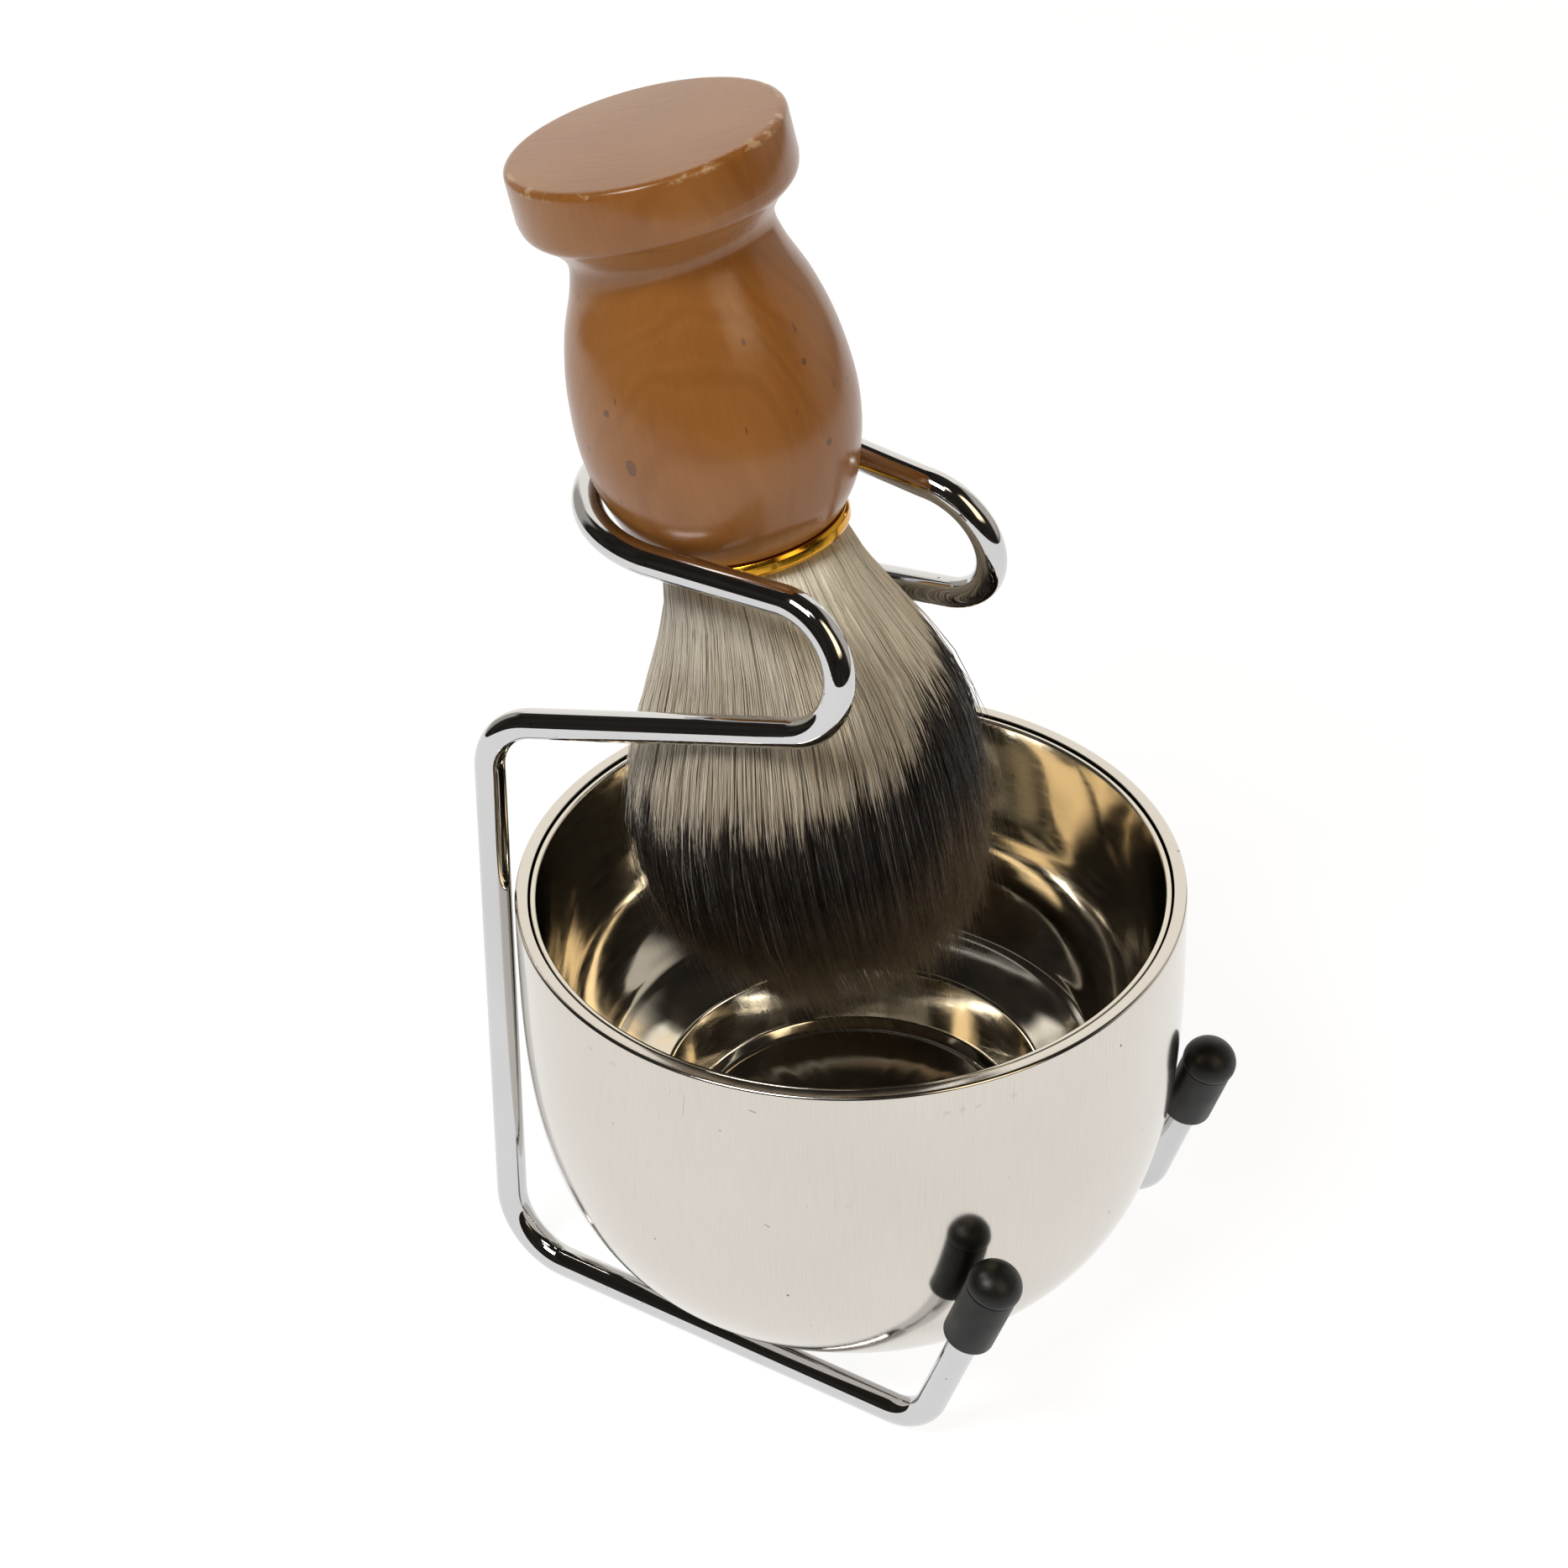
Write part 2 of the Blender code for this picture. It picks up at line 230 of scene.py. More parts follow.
def around(tree, turns_scale, height_scale):
    """A point in (angle, height, radius), for marks that run up a turned wall."""
    spot = node(tree, "ShaderNodeTexCoord").outputs["Object"]
    parts = node(tree, "ShaderNodeSeparateXYZ", {"Vector": spot}).outputs
    angle = maths(tree, "ARCTAN2", parts["Y"], parts["X"])
    values = {
        "X": maths(tree, "MULTIPLY", angle, turns_scale),
        "Y": maths(tree, "MULTIPLY", parts["Z"], height_scale),
        "Z": 0.0,
    }
    return node(tree, "ShaderNodeCombineXYZ", values).outputs[0]


def stroke(tree, turn, z, half_length, half_width, slant):
    """A thin mark on the bowl's wall. turn and slant are in degrees, and the rest is in millimetres."""
    spot = node(tree, "ShaderNodeTexCoord").outputs["Object"]
    parts = node(tree, "ShaderNodeSeparateXYZ", {"Vector": spot}).outputs
    angle = maths(tree, "SUBTRACT", maths(tree, "ARCTAN2", parts["Y"], parts["X"]), math.radians(turn))
    across = maths(tree, "MULTIPLY", angle, BOWL_RADIUS / MM)
    up = maths(tree, "SUBTRACT", maths(tree, "MULTIPLY", parts["Z"], 1 / MM), z)
    cosine, sine = math.cos(math.radians(slant)), math.sin(math.radians(slant))
    along = maths(tree, "MULTIPLY_ADD", up, sine, maths(tree, "MULTIPLY", across, cosine))
    aside = maths(tree, "MULTIPLY_ADD", across, -sine, maths(tree, "MULTIPLY", up, cosine))
    along = maths(tree, "MULTIPLY", along, 1 / half_length)
    aside = maths(tree, "MULTIPLY", aside, 1 / half_width)
    reach = maths(tree, "ADD", maths(tree, "MULTIPLY", along, along), maths(tree, "MULTIPLY", aside, aside))
    return ramp(tree, reach, [(0.45, 1.0), (1.0, 0.0)])


def wear(tree, colour):
    """Draws the nicks and scratches over a colour, scattered round the wall from one seed."""
    dice = np.random.default_rng(5)
    for step in range(NICKS + SCRATCHES):
        short = step < NICKS
        turn, height = dice.uniform(-180, 180), dice.uniform(26, 56)
        half_length = dice.uniform(0.4, 0.8) if short else dice.uniform(2, 6)
        slant = dice.uniform(-30, 30) if short else dice.uniform(45, 90)
        drawn = stroke(tree, turn, height, half_length, 0.14 if short else 0.08, slant)
        drawn = maths(tree, "MULTIPLY", drawn, 0.5 if short else 0.3)
        colour = mix(tree, drawn, colour, (0.16, 0.14, 0.12))
    return colour


def satin_steel():
    """The polished outer wall: faint upright polishing lines, long thin scratches, specks and small nicks."""
    made, tree, shader = new_material("satin_steel", Metallic=1.0)
    spot = place(tree)
    lines = noise(tree, around(tree, 60.0, 25.0), 6.0, 3.0, 0.6)
    clouds = noise(tree, spot, 30.0, 3.0)
    long_marks = noise(tree, around(tree, 21.0, 12.0), 3.0, 0.0)
    scratch = ramp(tree, long_marks, [(0.493, 1.0), (0.500, 0.0), (0.507, 1.0)])
    patches = ramp(tree, noise(tree, around(tree, 3.0, 60.0), 1.3, 1.0), [(0.54, 1.0), (0.60, 0.0)])
    scratch = mix(tree, patches, scratch, (1.0, 1.0, 1.0))
    specks = ramp(tree, noise(tree, spot, 620.0, 1.0), [(0.185, 0.0), (0.205, 1.0)])
    warm = mix(tree, clouds, (0.615, 0.573, 0.520), (0.700, 0.670, 0.625))
    fine = ramp(tree, lines, [(0.38, 0.0), (0.66, 0.35)])
    warm = mix(tree, fine, warm, (0.88, 0.87, 0.86), "MULTIPLY")
    marked = mix(tree, mix(tree, 0.72, scratch, (1.0, 1.0, 1.0)), (0.36, 0.33, 0.30), warm)
    colour = mix(tree, specks, (0.22, 0.20, 0.19), marked)
    feed(
        tree,
        shader,
        Base_Color=wear(tree, colour),
        Roughness=ramp(tree, lines, [(0.3, 0.09), (0.7, 0.15)]),
        Normal=bump(tree, lines, 0.00001, 0.25),
    )
    return made


def mirror_steel():
    """The bright inner wall: a mirror with the slow waves that pressing leaves, and fine turning marks."""
    made, tree, shader = new_material("mirror_steel", Metallic=1.0)
    spot = place(tree)
    waves = noise(tree, around(tree, 2.2, 18.0), 2.0, 1.0)
    swirl = noise(tree, place(tree, (1, 1, 6)), 260.0, 3.0)
    first = bump(tree, waves, 0.0012, 0.07)
    feed(
        tree,
        shader,
        Base_Color=mix(tree, noise(tree, spot, 45.0), (0.64, 0.595, 0.51), (0.70, 0.665, 0.59)),
        Roughness=ramp(tree, swirl, [(0.3, 0.06), (0.7, 0.12)]),
        Normal=bump(tree, swirl, 0.00001, 0.15, first),
    )
    return made


def mark(tree, spot, centre, size, wobble=0.35):
    """How far the point lies inside an uneven oval mark on the wood. centre and size are in millimetres."""
    centre, size = Vector(centre) * MM, Vector(size) * MM
    away = node(tree, "ShaderNodeVectorMath", {0: spot, 1: centre}, operation="SUBTRACT").outputs[0]
    scaled = node(tree, "ShaderNodeVectorMath", {0: away, 1: size}, operation="DIVIDE").outputs[0]
    length = node(tree, "ShaderNodeVectorMath", {0: scaled}, operation="LENGTH").outputs["Value"]
    uneven = maths(tree, "MULTIPLY_ADD", noise(tree, spot, 1400.0, 2.0), wobble * 2, length)
    return ramp(tree, uneven, [(0.70 + wobble * 0.6, 1.0), (0.99, 0.0)])


def wood():
    """Lacquered wood: faint growth rings about a pith beside the handle, fibres, pores and dark marks."""
    made, tree, shader = new_material("lacquered_wood", IOR=1.5)
    spot = place(tree)
    wander = noise(tree, place(tree, (1, 1, 0.22)), 55.0, 2.0)
    parts = node(tree, "ShaderNodeSeparateXYZ", {"Vector": spot}).outputs
    across = maths(tree, "MULTIPLY_ADD", parts["Z"], 0.22, maths(tree, "ADD", parts["X"], -0.030))
    along = maths(tree, "ADD", parts["Y"], -0.022)
    across_squared = maths(tree, "MULTIPLY", across, across)
    squares = maths(tree, "ADD", across_squared, maths(tree, "MULTIPLY", along, along))
    phase = maths(tree, "MULTIPLY_ADD", wander, 0.011, maths(tree, "SQRT", squares))
    wave = maths(tree, "SINE", maths(tree, "MULTIPLY", phase, 2000.0))
    rings = maths(tree, "MULTIPLY_ADD", wave, 0.5, 0.5)
    fibre = noise(tree, place(tree, (1, 1, 0.06)), 1500.0, 4.0, 0.6)
    blotch = noise(tree, place(tree, (1, 1, 0.5)), 60.0, 2.0)
    ring_shades = [(0.0, (0.325, 0.124, 0.026)), (0.7, (0.345, 0.136, 0.031)), (1.0, (0.300, 0.112, 0.022))]
    base = ramp(tree, rings, ring_shades)
    base = mix(tree, ramp(tree, fibre, [(0.35, 0.0), (0.8, 0.8)]), base, (0.265, 0.096, 0.024))
    base = mix(tree, ramp(tree, blotch, [(0.35, 0.0), (0.75, 0.65)]), base, (0.430, 0.190, 0.056))
    pore_field = noise(tree, place(tree, (1, 1, 0.25)), 900.0, 1.0)
    pore_patch = ramp(tree, noise(tree, spot, 130.0, 1.0), [(0.45, 0.0), (0.55, 1.0)])
    pores = mix(tree, pore_patch, (1.0, 1.0, 1.0), ramp(tree, pore_field, [(0.23, 0.0), (0.27, 1.0)]))
    base = mix(tree, pores, (0.15, 0.065, 0.03), base)
    oval = mark(tree, spot, (-BELLY_RADIUS / MM, 0, -OVAL_DROP / MM), (1.3, 1.3, 2.0))
    base = mix(tree, maths(tree, "MULTIPLY", oval, 0.62), base, (0.105, 0.045, 0.030))
    dice = np.random.default_rng(3)
    reach = BELLY_RADIUS / MM - 0.4
    for _ in range(DASHES):
        turn, drop = dice.uniform(0, 2 * math.pi), dice.uniform(27, 40)
        centre = (reach * math.cos(turn), reach * math.sin(turn), -drop)
        dark = mark(tree, spot, centre, (0.8, 0.8, 0.9))
        base = mix(tree, maths(tree, "MULTIPLY", dark, 0.6), base, (0.07, 0.04, 0.03))
    # The sharp edge of the cap is rubbed pale in places.
    flat = node(tree, "ShaderNodeCombineXYZ", {"X": parts["X"], "Y": parts["Y"], "Z": 0.0}).outputs[0]
    from_axis = node(tree, "ShaderNodeVectorMath", {0: flat}, operation="LENGTH").outputs["Value"]
    edge = maths(tree, "SUBTRACT", maths(tree, "ADD", from_axis, parts["Z"]), CAP_RADIUS - 1.15 * MM)
    edge = ramp(tree, maths(tree, "MULTIPLY", edge, 1 / MM), [(0.0, 0.0), (0.45, 1.0)])
    worn = ramp(tree, noise(tree, spot, 330.0, 4.0, 0.65), [(0.53, 0.0), (0.60, 0.75)])
    base = mix(tree, maths(tree, "MULTIPLY", edge, worn), base, (0.62, 0.42, 0.24))
    feed(
        tree,
        shader,
        Base_Color=base,
        Roughness=ramp(tree, noise(tree, spot, 120.0, 3.0), [(0.3, 0.18), (0.7, 0.27)]),
        Normal=bump(tree, fibre, 0.00002, 0.3, bump(tree, noise(tree, spot, 90.0, 2.0), 0.0004, 0.12)),
    )
    return made


def gilt():
    made, tree, shader = new_material("gilt_ring", Metallic=1.0)
    spot = place(tree)
    feed(
        tree,
        shader,
        Base_Color=mix(tree, noise(tree, spot, 220.0), (0.58, 0.26, 0.015), (0.80, 0.43, 0.045)),
        Roughness=ramp(tree, noise(tree, spot, 400.0), [(0.3, 0.10), (0.7, 0.22)]),
        Normal=bump(tree, noise(tree, spot, 700.0, 2.0), 0.00005, 0.4),
    )
    return made


def resin():
    made, tree, shader = new_material("knot_resin", IOR=1.5)
    spot = place(tree)
    feed(
        tree,
        shader,
        Base_Color=mix(tree, noise(tree, spot, 350.0), (0.50, 0.42, 0.28), (0.62, 0.55, 0.40)),
        Roughness=ramp(tree, noise(tree, spot, 500.0), [(0.3, 0.3), (0.7, 0.5)]),
        Normal=bump(tree, noise(tree, spot, 900.0), 0.0001, 0.3),
    )
    return made


def hair_look():
    """Ivory hair with a black-brown band and paler tips, from each strand's share of length and its tone."""
    made, tree, shader = new_material("bristles", IOR=1.45)
    share = node(tree, "ShaderNodeAttribute", attribute_name="share").outputs["Fac"]
    tone = node(tree, "ShaderNodeAttribute", attribute_name="tone").outputs["Fac"]
    # The ivory is palest at the root and darkens down towards the band.
    band = [
        (0.00, (0.96, 0.91, 0.80)),
        (0.20, (0.89, 0.82, 0.69)),
        (0.47, (0.70, 0.62, 0.50)),
        (0.490, (0.40, 0.33, 0.25)),
        (0.505, (0.030, 0.020, 0.015)),
        (0.74, (0.024, 0.016, 0.012)),
        (0.86, (0.150, 0.108, 0.076)),
        (1.00, (0.46, 0.37, 0.27)),
    ]
    colour = ramp(tree, share, band)
    lift = ramp(tree, tone, [(0.90, 0.0), (0.96, 0.85)])
    pale = mix(tree, lift, colour, mix(tree, 0.35, colour, (0.95, 0.94, 0.90)), "SCREEN")
    shaded = mix(tree, ramp(tree, tone, [(0.02, 0.6), (0.09, 0.0)]), pale, (0.16, 0.12, 0.09))
    feed(
        tree,
        shader,
        Base_Color=shaded,
        Roughness=ramp(tree, tone, [(0.0, 0.28), (1.0, 0.45)]),
    )
    return made


# ---- shapes ----


def add_mesh(name, points, faces, look, matrix=None):
    """A smooth-shaded piece from its points and faces, with its matrix applied to the object."""
    mesh = bpy.data.meshes.new(name)
    mesh.from_pydata([tuple(point) for point in points], [], faces)
    mesh.validate()
    mesh.shade_smooth()
    mesh.set_sharp_from_angle(angle=SHARP_ANGLE)
    mesh.materials.append(look)
    made = bpy.data.objects.new(name, mesh)
    bpy.context.scene.collection.objects.link(made)
    if matrix:
        made.matrix_world = matrix
    return made


def turned(name, outline, segments, look, matrix=None, centre_of=None):
    """A body turned about local Z from a closed outline of (radius, z) points, counter-clockwise."""
    points, rings, faces = [], [], []
    for radius, z in outline:
        shift = centre_of(z) if centre_of else 0.0
        count = 1 if radius <= 1e-7 else segments
        rings.append((len(points), count))
        for step in range(count):
            angle = 2 * math.pi * step / segments
            points.append((radius * math.cos(angle), shift + radius * math.sin(angle), z))
    pairs = list(zip(rings, rings[1:]))
    if rings[0][1] > 1:
        pairs.append((rings[-1], rings[0]))
    for (low, low_count), (high, high_count) in pairs:
        for step in range(segments):
            after = (step + 1) % segments
            if low_count == 1 and high_count > 1:
                faces.append((low, high + after, high + step))
            elif high_count == 1 and low_count > 1:
                faces.append((low + step, low + after, high))
            elif low_count > 1:
                faces.append((low + step, low + after, high + after, high + step))
    return add_mesh(name, points, faces, look, matrix)


def filleted(corners, steps=6):
    """Rounds a polyline of (radius, z, fillet) corners with short curves. A fillet of 0 keeps the corner."""
    rounded = []
    for index, (radius, z, fillet) in enumerate(corners):
        if fillet <= 0 or index in (0, len(corners) - 1):
            rounded.append((radius, z))
            continue
        here = Vector((radius, z))
        before = Vector(corners[index - 1][:2]) - here
        after = Vector(corners[index + 1][:2]) - here
        half = before.angle(after) / 2
        reach = min(fillet / math.tan(half), 0.49 * before.length, 0.49 * after.length)
        start, end = here + before.normalized() * reach, here + after.normalized() * reach
        for step in range(steps + 1):
            t = step / steps
            spot = start * (1 - t) ** 2 + here * 2 * t * (1 - t) + end * t * t
            rounded.append((spot.x, spot.y))
    return rounded


def smooth_outline(points, steps):
    """A Catmull-Rom curve through (radius, station) points, with steps spans between each two."""
    ends = [points[0], *points, points[-1]]
    curve = []
    for before, start, end, after in zip(ends, ends[1:], ends[2:], ends[3:]):
        for step in range(steps):
            t = step / steps
            weights = (
                -0.5 * t + t * t - 0.5 * t**3,
                1 - 2.5 * t * t + 1.5 * t**3,
                0.5 * t + 2 * t * t - 1.5 * t**3,
                -0.5 * t * t + 0.5 * t**3,
            )
            four = (before, start, end, after)
            curve.append(tuple(sum(w * p[axis] for w, p in zip(weights, four)) for axis in (0, 1)))
    return curve + [points[-1]]


def bend(before, corner, after, radius):
    """Points along the arc that rounds a corner of the wire."""
    to_before = (before - corner).normalized()
    to_after = (after - corner).normalized()
    half = to_before.angle(to_after) / 2
    centre = corner + (to_before + to_after).normalized() * radius / math.sin(half)
    start = corner + to_before * radius / math.tan(half) - centre
    turning = math.pi - 2 * half
    spin_axis = start.cross(corner + to_after * radius / math.tan(half) - centre).normalized()
    steps = round(turning / BEND_STEP)
    turns = [Matrix.Rotation(turning * step / steps, 3, spin_axis) for step in range(steps + 1)]
    return [centre + turn @ start for turn in turns]


def hook():
    """The turn from an arm, up and back into the loop's rail."""
    first = ARM_TILT - math.pi / 2
    sweep = math.pi / 2 - first
    steps = round(sweep / BEND_STEP)
    points = []
    for step in range(steps + 1):
        share = step / steps
        angle = first + sweep * share
        span = ARM_HALF_SPAN + (HOOK_HALF_SPAN - ARM_HALF_SPAN) * (1 - math.cos(math.pi * share)) / 2
        back, up = -HOOK_RADIUS * math.cos(angle), HOOK_RADIUS * math.sin(angle)
        points.append(HOOK_CENTRE + Vector((span, back, up)))
    return points


def half_wire():
    """The wire's centre line on the +X side, from its end inside a rubber tip to the back of the loop."""
    wire_end = FRONT_CORNER + RISER_DIRECTION * (TIP_START + TIP_SOCKET_DEPTH - GAP)
    turn = hook()
    route = [wire_end]
    route += bend(wire_end, FRONT_CORNER, BACK_CORNER, FRONT_BEND)
    route += bend(FRONT_CORNER, BACK_CORNER, SHOULDER_CORNER, BACK_BEND)
    route += bend(BACK_CORNER, SHOULDER_CORNER, turn[0], SHOULDER_BEND)
    route += turn
    steps = round(math.pi / 2 / BEND_STEP)
    for step in range(steps + 1):
        angle = math.pi / 2 * step / steps
        loop_point = Vector((math.cos(angle), math.sin(angle), 0)) * LOOP_RADIUS
        route.append(loop_point + Vector((0, LOOP_CENTRE_Y, HOOK_CENTRE.z + HOOK_RADIUS)))
    return route


def tube(name, route, radius, sides, look):
    """A round wire along the route's points, with flat ends and its sides carried along without twist."""
    places = [Vector(point) for point in route]
    points, faces = [], []
    side = None
    for index, here in enumerate(places):
        before = places[max(0, index - 1)]
        after = places[min(len(places) - 1, index + 1)]
        along = (after - before).normalized()
        if side is None:
            side = along.orthogonal().normalized()
        side = (side - along * side.dot(along)).normalized()
        up = along.cross(side)
        for step in range(sides):
            angle = 2 * math.pi * step / sides
            points.append(here + (side * math.cos(angle) + up * math.sin(angle)) * radius)
    for ring in range(len(places) - 1):
        for step in range(sides):
            after = (step + 1) % sides
            low, high = ring * sides, (ring + 1) * sides
            faces.append((low + step, low + after, high + after, high + step))
    faces.append(tuple(reversed(range(sides))))
    faces.append(tuple(range((len(places) - 1) * sides, len(places) * sides)))
    return add_mesh(name, points, faces, look)


def evened(route, spacing):
    """The route with its long stretches divided, so that no two points are further apart than spacing."""
    out = [route[0]]
    for point in route[1:]:
        gap = (point - out[-1]).length
        if gap < 1e-6:
            continue
        steps = max(1, math.ceil(gap / spacing))
        start = out[-1]
        out += [start.lerp(point, step / steps) for step in range(1, steps + 1)]
    return out


def make_stand(look):
    right = half_wire()
    left = [Vector((-p.x, p.y, p.z)) for p in reversed(right[:-1])]
    wire = tube("wire_frame", evened(right + left, 4 * MM), WIRE_RADIUS, WIRE_SIDES, look)
    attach(wire, "stand")
    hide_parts("stand_wire")


def make_tip(name, node_name, side, look):
    """A push-on tip: a slightly tapered sleeve, a parting groove and a domed head."""
    groove = 0.12 * MM
    lip = TIP_BODY_LENGTH
    outline = [
        (WIRE_RADIUS + 0.1 * MM, 0.0, 0),
        (TIP_BODY_RADIUS - 0.05 * MM, 0.0, 0.45 * MM),
        (TIP_BODY_RADIUS, lip - 0.35 * MM, 0.15 * MM),
        (TIP_BODY_RADIUS - groove, lip - 0.15 * MM, 0.05 * MM),
        (TIP_DOME_RADIUS - 0.05 * MM, lip + 0.05 * MM, 0.1 * MM),
        (TIP_DOME_RADIUS, lip + 0.4 * MM, 0.1 * MM),
    ]
    shape = filleted([*outline, (TIP_DOME_RADIUS, lip + 0.5 * MM, 0)])
    dome_height = TIP_DOME_RADIUS - 0.5 * MM
    for step in range(1, 21):
        angle = math.pi / 2 * step / 20
        shape.append((TIP_DOME_RADIUS * math.cos(angle), lip + 0.5 * MM + dome_height * math.sin(angle)))
    shape[-1] = (0.0, shape[-1][1])
    shape += [(0.0, TIP_SOCKET_DEPTH), (WIRE_RADIUS + 0.1 * MM, TIP_SOCKET_DEPTH)]
    shape = shape[-2:] + shape[:-2]
    along = Vector((RISER_DIRECTION.x * side, RISER_DIRECTION.y, RISER_DIRECTION.z))
    corner = Vector((FRONT_CORNER.x * side, FRONT_CORNER.y, FRONT_CORNER.z))
    upright = along.to_track_quat("Z", "Y").to_matrix().to_4x4()
    matrix = Matrix.Translation(corner + along * TIP_START) @ upright
    tip = turned(name, shape, 72, look, matrix)
    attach(tip, "stand")
    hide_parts(node_name)


def wall_curve(radius, floor_z, flat_radius):
    """A superellipse wall, as (radius, z) points from the edge of the flat floor up to the shoulder."""
    depth = BOWL_SHOULDER_Z - floor_z
    first = math.asin((flat_radius / radius) ** (BOWL_ROUNDNESS / 2))
    points = []
    for step in range(WALL_STEPS + 1):
        angle = first + (math.pi / 2 - first) * step / WALL_STEPS
        reach = math.sin(angle) ** (2 / BOWL_ROUNDNESS)
        drop = math.cos(angle) ** (2 / BOWL_ROUNDNESS) if step < WALL_STEPS else 0.0
        points.append((radius * reach, BOWL_SHOULDER_Z - depth * drop))
    return points


def make_bowl(outer_look, inner_look):
    matrix = Matrix.Translation(BOWL_AXIS)
    top = BOWL_HEIGHT
    outside = [(0.0, 0.0), (BOWL_FOOT_RADIUS, 0.0)]
    outside += wall_curve(BOWL_RADIUS, 0.0, BOWL_FOOT_RADIUS + 1.5 * MM)
    flange = filleted(
        [
            (BOWL_RADIUS, BOWL_SHOULDER_Z + 0.5 * MM, 0),
            (BOWL_RADIUS, top, 0.45 * MM),
            (BOWL_RADIUS - RIM_FLANGE, top, 0.12 * MM),
            (BOWL_RADIUS - RIM_FLANGE, top - SHEET, 0.1 * MM),
            (BOWL_RADIUS - SHEET, top - SHEET - 0.4 * MM, 0),
        ]
    )
    back = wall_curve(BOWL_RADIUS - SHEET, SHEET, BOWL_FOOT_RADIUS + 1.5 * MM)
    back.reverse()
    outer = turned(
        "bowl_outside",
        outside + flange + back + [(BOWL_FOOT_RADIUS, SHEET), (0.0, SHEET)],
        BOWL_SEGMENTS,
        outer_look,
        matrix,
    )
    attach(outer, "bowl")
    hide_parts("bowl_outer_shell")

    behind = BOWL_RADIUS - SHEET - WALL_SPACE
    face = behind - SHEET
    edge = BOWL_RADIUS - RIM_FLANGE - GAP
    under = WELL_FLOOR_Z - SHEET
    hidden = [(0.0, under), (WELL_FLOOR_RADIUS + SHEET / 2, under)]
    hidden.append((WELL_WALL_RADIUS + SHEET, under + WELL_CORNER))
    hidden += wall_curve(behind, BASIN_FLOOR_Z - SHEET, WELL_RIM_RADIUS + SHEET)
    rim = filleted(
        [
            (behind, top - SHEET - 0.4 * MM, 0),
            (edge, top - SHEET, 0.1 * MM),
            (edge, top - 0.25 * MM, 0.15 * MM),
            (face, top - 0.25 * MM, 0.6 * MM),
            (face, BOWL_SHOULDER_Z + 0.5 * MM, 0),
        ]
    )
    basin = wall_curve(face, BASIN_FLOOR_Z, WELL_RIM_RADIUS + 0.9 * MM)
    dips = [math.exp(-(((r - DRAW_RING_RADIUS) / DRAW_RING_WIDTH) ** 2)) for r, z in basin]
    basin = [(r, z - DRAW_RING_DEPTH * dip) for (r, z), dip in zip(basin, dips)]
    basin.reverse()
    last = basin[-1]
    well = filleted(
        [
            (*last, 0),
            (WELL_RIM_RADIUS, last[1] - 0.3 * MM, 1.2 * MM),
            (WELL_WALL_RADIUS, WELL_FLOOR_Z + 1.2 * MM, 1.0 * MM),
            (WELL_FLOOR_RADIUS, WELL_FLOOR_Z, 1.6 * MM),
            (0.0, WELL_FLOOR_Z, 0),
        ]
    )
    inner = turned("bowl_inside", hidden + rim + basin[:-1] + well, BOWL_SEGMENTS, inner_look, matrix)
    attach(inner, "bowl")
    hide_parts("bowl_inner_shell")


def downwards(outline):
    return [(radius, -station) for radius, station in outline]


def make_handle(look):
    cap = filleted(
        [
            (0.0, 0.0, 0),
            (CAP_RADIUS, 0.0, 1.1 * MM),
            (CAP_RADIUS, 6.4 * MM, 0),
        ]
    )
    shape = [(17.6, 6.4), (17.0, 8.3), (14.6, 10.4), (12.95, 13.2), (13.6, 17.0), (15.7, 22.6)]
    shape += [(17.15, 29.0), (17.7, 36.0), (17.2, 41.4), (16.0, 45.9), (14.85, 48.9), (12.7, 51.9)]
    body = smooth_outline([(radius * MM, station * MM) for radius, station in shape], 10)
    end = [(12.2 * MM, HANDLE_END), (BORE_RADIUS, HANDLE_END), (BORE_RADIUS, BORE_START), (0.0, BORE_START)]
    outline = downwards(cap[:-1] + body + end)
    outline.reverse()
    handle = turned("wooden_handle", outline, HANDLE_SEGMENTS, look, BRUSH_FRAME)
    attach(handle, "brush")
    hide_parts("brush_handle")


def make_collar(look):
    start, end = HANDLE_END + 0.1 * MM, HANDLE_END + GAP + COLLAR_LENGTH
    outline = filleted(
        [
            (BORE_RADIUS, (start + end) / 2, 0),
            (BORE_RADIUS, start, 0.1 * MM),
            (COLLAR_RADIUS - 0.3 * MM, start, 0.2 * MM),
            (COLLAR_RADIUS, start + 0.5 * MM, 0.4 * MM),
            (COLLAR_RADIUS, end - 0.5 * MM, 0.4 * MM),
            (COLLAR_RADIUS - 0.3 * MM, end, 0.2 * MM),
            (BORE_RADIUS, end, 0.1 * MM),
            (BORE_RADIUS, (start + end) / 2 + 0.01 * MM, 0),
        ]
    )
    outline = downwards(outline)
    outline.reverse()
    ring = turned("gilt_ring", outline, 128, look, BRUSH_FRAME)
    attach(ring, "brush")
    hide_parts("brush_collar")


# ---- hair ----

STRANDS = 24000
STRAND_SIDES = 3
STRAND_STEPS = 7
STRAND_WIDTH = 0.062 * MM  # radius at the root
HAIR_PIECES = 6
CURL_IN = 0.72  # how far the outer hairs follow the domed end inwards
DOME_POWER = 2.4
BAND_TURN = math.radians(-55)  # the side on which the dark band starts nearest to the handle
TUFTS = 900
CORE_SHARE = 0.87  # the dense middle's width and length, as shares of the whole bundle's
CORE_REACH = 0.90
CORE_STEPS = 40
CORE_TONE = 0.12


def hair_flare(share):
    rise = np.sin(np.pi / 2 * np.minimum(1.0, share / WIDEST_SHARE)) ** 1.5
    return HAIR_ROOT_RADIUS + HAIR_FLARE * rise


def hair_sag(share):
    """How far the bundle's middle lies behind the brush's axis."""
    swing = 2.4 * MM * np.sin(np.pi * np.clip(share, 0, 1) ** 2.2)
    return swing - 0.9 * MM * np.sin(2 * np.pi * np.minimum(share, 0.5))


